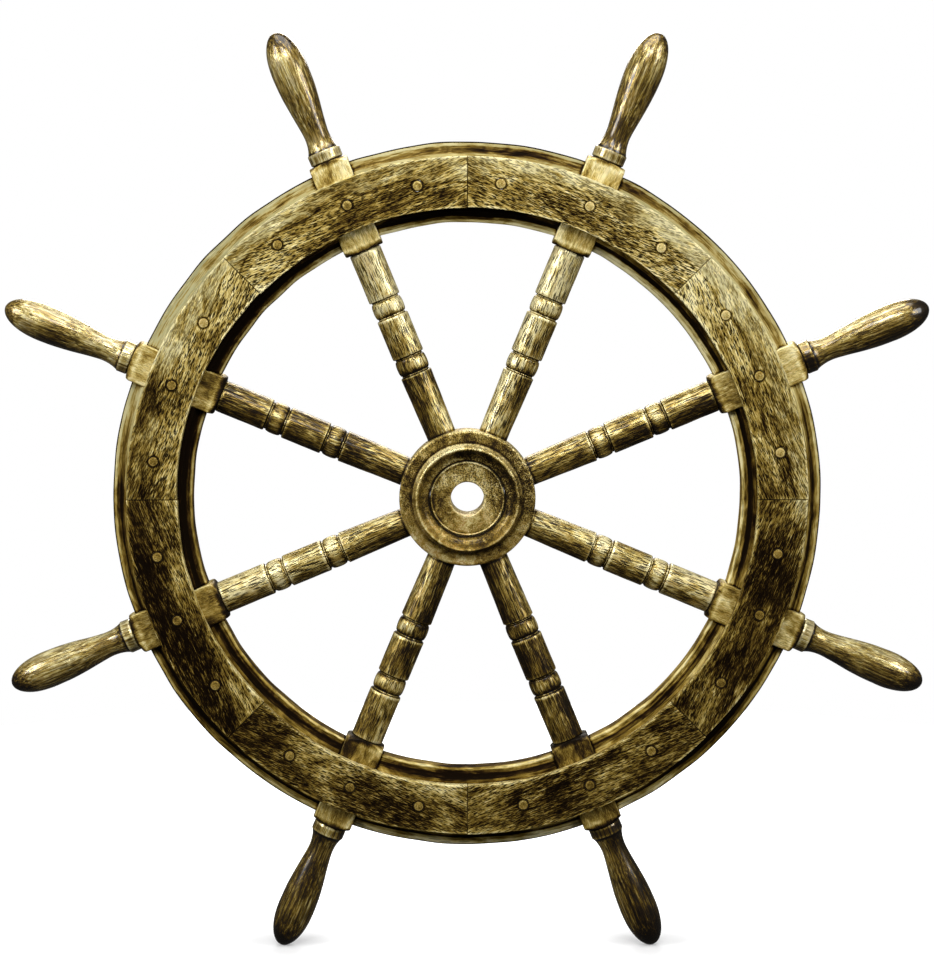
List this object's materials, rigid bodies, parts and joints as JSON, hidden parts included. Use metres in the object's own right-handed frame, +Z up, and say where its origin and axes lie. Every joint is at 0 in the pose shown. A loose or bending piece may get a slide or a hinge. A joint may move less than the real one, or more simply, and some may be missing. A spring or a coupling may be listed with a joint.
{
  "type": "ship steering wheel",
  "caption": "Wooden ship's steering wheel with turned spokes that end in hand grips, a pegged rim of joined felloes and a bored hub that fits on a steering shaft.",
  "frame": {"origin": "centre of the wheel, on the axis of the hub's bore, half way through the wheel's thickness", "axes": "+Y along the bore, from the helmsman's side to the ship's side; +Z up; +X to the helmsman's right; the spokes stand 22.5 degrees off the Z axis"},
  "size_m": [0.8458, 0.054, 0.8458],
  "materials": {
    "face_felloe_wood": "open-grained dark wood, pores stained near black, surface rubbed with antique gold, satin",
    "middle_felloe_wood": "dark stained wood in the coves, gold rubbed on the edges, satin varnish",
    "spoke_wood": "turned dark wood with antique gold rubbed over the high spots, semi-gloss varnish",
    "peg_wood": "end-grain wooden pegs, brighter gold than the rim, satin",
    "hub_wood": "turned dark wood with speckled antique gold, semi-gloss varnish"
  },
  "bodies": {
    "root": {"hub_core": "hub_wood", "hub_front_ring": "hub_wood", "hub_rear_ring": "hub_wood", "hub_boss": "hub_wood", "spoke_1": "spoke_wood", "spoke_2": "spoke_wood", "spoke_3": "spoke_wood", "spoke_4": "spoke_wood", "spoke_5": "spoke_wood", "spoke_6": "spoke_wood", "spoke_7": "spoke_wood", "spoke_8": "spoke_wood", "middle_felloe_1": "middle_felloe_wood", "middle_felloe_2": "middle_felloe_wood", "middle_felloe_3": "middle_felloe_wood", "middle_felloe_4": "middle_felloe_wood", "middle_felloe_5": "middle_felloe_wood", "middle_felloe_6": "middle_felloe_wood", "middle_felloe_7": "middle_felloe_wood", "middle_felloe_8": "middle_felloe_wood", "front_felloe_1": "face_felloe_wood", "front_felloe_2": "face_felloe_wood", "front_felloe_3": "face_felloe_wood", "front_felloe_4": "face_felloe_wood", "front_felloe_5": "face_felloe_wood", "front_felloe_6": "face_felloe_wood", "front_felloe_7": "face_felloe_wood", "front_felloe_8": "face_felloe_wood", "rear_felloe_1": "face_felloe_wood", "rear_felloe_2": "face_felloe_wood", "rear_felloe_3": "face_felloe_wood", "rear_felloe_4": "face_felloe_wood", "rear_felloe_5": "face_felloe_wood", "rear_felloe_6": "face_felloe_wood", "rear_felloe_7": "face_felloe_wood", "rear_felloe_8": "face_felloe_wood", "joint_peg_1a": "peg_wood", "joint_peg_1b": "peg_wood", "spoke_peg_1": "peg_wood", "joint_peg_2a": "peg_wood", "joint_peg_2b": "peg_wood", "spoke_peg_2": "peg_wood", "joint_peg_3a": "peg_wood", "joint_peg_3b": "peg_wood", "spoke_peg_3": "peg_wood", "joint_peg_4a": "peg_wood", "joint_peg_4b": "peg_wood", "spoke_peg_4": "peg_wood", "joint_peg_5a": "peg_wood", "joint_peg_5b": "peg_wood", "spoke_peg_5": "peg_wood", "joint_peg_6a": "peg_wood", "joint_peg_6b": "peg_wood", "spoke_peg_6": "peg_wood", "joint_peg_7a": "peg_wood", "joint_peg_7b": "peg_wood", "spoke_peg_7": "peg_wood", "joint_peg_8a": "peg_wood", "joint_peg_8b": "peg_wood", "spoke_peg_8": "peg_wood"}
  },
  "joints": []
}
